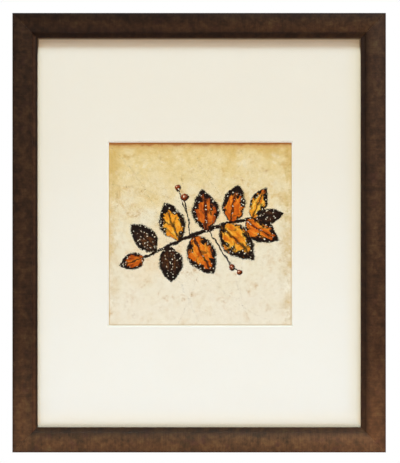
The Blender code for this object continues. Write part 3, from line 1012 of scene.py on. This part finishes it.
def make_kraft():
    """Brown paper with long pale and dark fibres and faint machine ribs."""
    finish = Finish("Kraft paper", Specular_IOR_Level=0.35)
    long_fibres = finish.noise(finish.point(finish.x * 5.0, finish.y, finish.z), 330.0, 5.0, 0.7)
    cloud = finish.noise(finish.place, 26.0, 4.0, 0.6)
    ribs = (finish.x * MM).zigzag(0.55)
    paper = finish.ramp(
        long_fibres * 0.6 + cloud * 0.4,
        [(0.32, (0.260, 0.148, 0.072)), (0.50, (0.360, 0.222, 0.116)), (0.68, (0.455, 0.300, 0.170))],
    )
    finish.drive("Base Color", finish.blend(ribs * 0.16, paper, (0.25, 0.145, 0.07)))
    finish.drive("Roughness", 0.66 + long_fibres * 0.25)
    finish.relief(long_fibres * 0.7 + ribs * 0.3, 0.00012)
    return finish.material


def make_dust_cover():
    """A nearly tight sheet of kraft paper, glued to the rails and rippled between them."""
    low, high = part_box("dust_cover")
    wide, tall, thick = high[0] - low[0], high[2] - low[2], high[1] - low[1]
    middle = ((low[0] + high[0]) / 2, (low[1] + high[1]) / 2, (low[2] + high[2]) / 2)
    bpy.ops.object.select_all(action="DESELECT")
    bpy.ops.mesh.primitive_grid_add(
        x_subdivisions=COVER_CELLS[0],
        y_subdivisions=COVER_CELLS[1],
        size=1.0,
        rotation=(-math.pi / 2, 0.0, 0.0),
        location=middle,
    )
    bpy.context.object.scale = (wide, tall, 1.0)
    cover = start_piece("kraft_dust_cover")
    free_x = wide / 2 - BACK_WIDTH - GLUE_LINE
    free_z = tall / 2 - BACK_WIDTH - GLUE_LINE
    bpy.ops.object.mode_set(mode="EDIT")
    count = pick(
        cover, "VERT", lambda p: abs(p.x - middle[0]) < free_x and abs(p.z - middle[2]) < free_z
    )
    bpy.ops.transform.translate(value=(0.0, -COVER_DIP, 0.0))
    bpy.ops.mesh.vertices_smooth(factor=0.5, repeat=8)
    bpy.ops.object.mode_set(mode="OBJECT")
    inner = cover.vertex_groups.new(name="between_the_rails")
    inner.add([v.index for v in cover.data.vertices if v.select], 1.0, "REPLACE")
    soft = bpy.data.textures.new("paper_ripples", "CLOUDS")
    soft.noise_scale = RIPPLE_SIZE
    soft.noise_depth = 1
    bake_modifier(
        cover, "DISPLACE", texture=soft, strength=RIPPLE, mid_level=0.55, direction="Y",
        vertex_group="between_the_rails",
    )
    bpy.ops.object.mode_set(mode="EDIT")
    bpy.ops.mesh.select_all(action="SELECT")
    bpy.ops.mesh.vertices_smooth(factor=0.5, repeat=3, xaxis=False, zaxis=False)
    bpy.ops.object.mode_set(mode="OBJECT")
    bake_modifier(cover, "SOLIDIFY", thickness=thick, offset=0.0)
    only(cover)
    bpy.ops.object.shade_smooth_by_angle(angle=SMOOTH_ANGLE)
    cover.data.materials.append(make_kraft())
    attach(cover, "root")
    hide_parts("dust_cover")
    print("the dust cover has", count, "free points of", len(cover.data.vertices))


make_dust_cover()

# %% [markdown]
# ## The hanger and its nails
#
# The sawtooth hanger is stamped from brass-plated sheet. Its solid has the right shape with sharp
# edges, and a stamped edge is slightly round. So a copy of the solid is merged, its flat faces are
# joined again, and a small bevel runs along every edge. The nails keep their solids and share its
# finish, which is a little darker and rougher where air got at it.

# %% Brass and the hanger
STAMPED_EDGE = 0.00010


def make_brass():
    """Brass plating with fine rolling lines and duller patches."""
    finish = Finish("Brass-plated steel", Metallic=1.0)
    lines = finish.noise(finish.point(finish.x * 300.0, finish.y * 2600.0, finish.z * 5200.0), 1.0, 2.0)
    dull = finish.noise(finish.place, 260.0, 4.0, 0.6)
    brassy = finish.blend(finish.step(dull, 0.40, 0.70), (0.78, 0.58, 0.28), (0.52, 0.36, 0.16))
    finish.drive("Base Color", brassy)
    finish.drive("Roughness", 0.22 + dull * 0.22 + lines * 0.10)
    finish.relief(lines, 0.00002)
    return finish.material


def make_hanger(brass):
    """A copy of the hanger's solid with its edges rounded."""
    only(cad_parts["sawtooth_hanger"])
    bpy.ops.object.duplicate()
    hanger = bpy.context.object
    hanger.name = "stamped_hanger"
    hanger.data.name = hanger.name
    bpy.ops.object.mode_set(mode="EDIT")
    bpy.ops.mesh.select_all(action="SELECT")
    bpy.ops.mesh.remove_doubles(threshold=0.000002)
    bpy.ops.mesh.dissolve_limited(angle_limit=math.radians(2.0))
    bpy.ops.object.mode_set(mode="OBJECT")
    bake_modifier(
        hanger,
        "BEVEL",
        width=STAMPED_EDGE,
        segments=2,
        limit_method="ANGLE",
        angle_limit=math.radians(30.0),
    )
    bpy.ops.object.shade_smooth_by_angle(angle=SMOOTH_ANGLE)
    hanger.data.materials.clear()
    hanger.data.materials.append(brass)
    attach(hanger, "root")
    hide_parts("sawtooth_hanger")
    print("the hanger has", len(hanger.data.polygons), "faces")


brass = make_brass()
make_hanger(brass)
dress(["hanger_nail_left", "hanger_nail_right"], brass)

# %% [markdown]
# ## Wall bumpers
#
# Two soft buttons keep the lower corners off the wall. They are brown rubber with a fine moulded
# skin and a little dust.


# %% Bumpers
def make_bumper_rubber():
    """Dark brown rubber with a fine skin."""
    finish = Finish("Bumper rubber", Specular_IOR_Level=0.4)
    skin = finish.noise(finish.place, 2600.0, 3.0)
    dust = finish.noise(finish.place, 420.0, 4.0)
    dusty = finish.blend(finish.step(dust, 0.45, 0.75), (0.045, 0.032, 0.026), (0.10, 0.083, 0.07))
    finish.drive("Base Color", dusty)
    finish.drive("Roughness", 0.58 + skin * 0.25)
    finish.relief(skin, 0.00005)
    return finish.material


dress(["wall_bumper_left", "wall_bumper_right"], make_bumper_rubber())

# %% [markdown]
# ## Camera
#
# The photograph was taken square on from a distance, so its perspective is weak: a long lens two
# metres away. A camera sees a known height at a known distance, and that gives the lens. The
# picture's middle isn't quite the frame's middle, so the camera stands 1 mm to the right of it and
# 1.3 mm higher, and needs no shift.

# %% Camera
CAMERA_DISTANCE = 2.0
CAMERA_RIGHT = 0.00097
CAMERA_UP = 0.00133
VIEW_HEIGHT = 0.5114
SENSOR = 36.0

camera_data = bpy.data.cameras.new("camera")
camera = bpy.data.objects.new("camera", camera_data)
bpy.context.scene.collection.objects.link(camera)
camera_data.sensor_width = SENSOR
camera_data.lens = SENSOR * CAMERA_DISTANCE / VIEW_HEIGHT
camera.location = (FRAME_X + CAMERA_RIGHT, FRAME_FRONT - CAMERA_DISTANCE, FRAME_Z + CAMERA_UP)
camera.rotation_euler = (math.pi / 2, 0.0, 0.0)
bpy.context.scene.camera = camera
print(f"lens {camera_data.lens:.1f} mm at {CAMERA_DISTANCE} m")

# %% [markdown]
# ## Light and floor
#
# The photograph has a pure white surround and one soft light high in front, which throws the top
# rail's shadow onto the mat, 10 mm long. The lit mat is neutral and the shadow is warm, so the light
# is split by colour. The key lamp, far off and high, is cool and gives the shadow its edge. A broad
# lamp above softens the shadow's foot. A small warm lamp low in front reaches under the top rail and
# fills what the key leaves dark, and the light from all round is warm too.
#
# The world is white to the camera alone. For every other ray it is that warm fill. It is dim in the
# narrow cone behind the camera, or the glass would mirror it as a haze. The last lamp is for the back
# of the frame, which other views show.

# %% World
FILL = (0.254, 0.183, 0.115)
DIM_SHARE = 0.90
DIM_CONE = (-0.975, -0.94)

world = bpy.data.worlds.new("studio")
bpy.context.scene.world = world
world.use_nodes = True


def build_world(nodes, links):
    """White for the camera, and for all other rays a warm fill that is dim behind the camera."""
    way = nodes.new("ShaderNodeTexCoord")
    split = nodes.new("ShaderNodeSeparateXYZ")
    dim = nodes.new("ShaderNodeMapRange")
    dim.interpolation_type = "SMOOTHSTEP"
    dim.inputs["From Min"].default_value = DIM_CONE[0]
    dim.inputs["From Max"].default_value = DIM_CONE[1]
    dim.inputs["To Min"].default_value = 1 - DIM_SHARE
    dim.inputs["To Max"].default_value = 1.0
    surround = nodes["Background"]
    fill = nodes.new("ShaderNodeBackground")
    mixer = nodes.new("ShaderNodeMixShader")
    rays = nodes.new("ShaderNodeLightPath")
    surround.inputs["Color"].default_value = (1.0, 1.0, 1.0, 1.0)
    fill.inputs["Color"].default_value = (*FILL, 1.0)
    links.new(way.outputs["Generated"], split.inputs[0])
    links.new(split.outputs["Y"], dim.inputs["Value"])
    links.new(dim.outputs[0], fill.inputs["Strength"])
    links.new(rays.outputs["Is Camera Ray"], mixer.inputs[0])
    links.new(fill.outputs[0], mixer.inputs[1])
    links.new(surround.outputs[0], mixer.inputs[2])
    links.new(mixer.outputs[0], nodes["World Output"].inputs[0])


build_world(world.node_tree.nodes, world.node_tree.links)
bpy.context.scene.view_settings.view_transform = "Standard"


# %% Lamps
def add_lamp(name, distance, turn, elevation, size, power, colour):
    """A round area lamp aimed at the middle of the frame's front, placed by its angles from there."""
    data = bpy.data.lights.new(name, "AREA")
    data.shape = "DISK"
    data.size = size
    data.energy = power
    data.color = colour
    lamp = bpy.data.objects.new(name, data)
    bpy.context.scene.collection.objects.link(lamp)
    aside, above = math.radians(turn), math.radians(elevation)
    flat = math.cos(above)
    way = Vector((math.sin(aside) * flat, -math.cos(aside) * flat, math.sin(above)))
    lamp.location = Vector((FRAME_X, FRAME_FRONT, FRAME_Z)) + way * distance
    lamp.rotation_euler = way.to_track_quat("Z", "Y").to_euler()
    lamp.visible_camera = False
    print(f"{name} lamp at {distance} m, {elevation:.0f} degrees up")


add_lamp("key", 8.0, 0.0, 58.0, 2.1, 565.0, (0.603, 0.829, 1.0))
add_lamp("overhead", 4.4, 0.0, 50.0, 4.0, 77.0, (0.957, 1.0, 0.90))
add_lamp("low_fill", 2.5, 0.0, -20.0, 0.6, 12.4, (1.0, 0.48, 0.15))
add_lamp("back_light", 2.4, 150.0, 30.0, 1.2, 60.0, (1.0, 0.98, 0.95))

# %% Floor
FLOOR_Z = -1.5
FLOOR_SIZE = 8.0

bpy.ops.object.select_all(action="DESELECT")
bpy.ops.mesh.primitive_plane_add(size=FLOOR_SIZE, location=(0.0, 0.0, FLOOR_Z))
floor = bpy.context.object
floor.name = "floor"
floor_paint = Finish("Pale floor", Roughness=0.9)
mottle = floor_paint.noise(floor_paint.place, 3.0, 3.0)
floor_paint.drive("Base Color", floor_paint.blend(mottle, (0.80, 0.80, 0.79), (0.84, 0.84, 0.83)))
floor.data.materials.append(floor_paint.material)
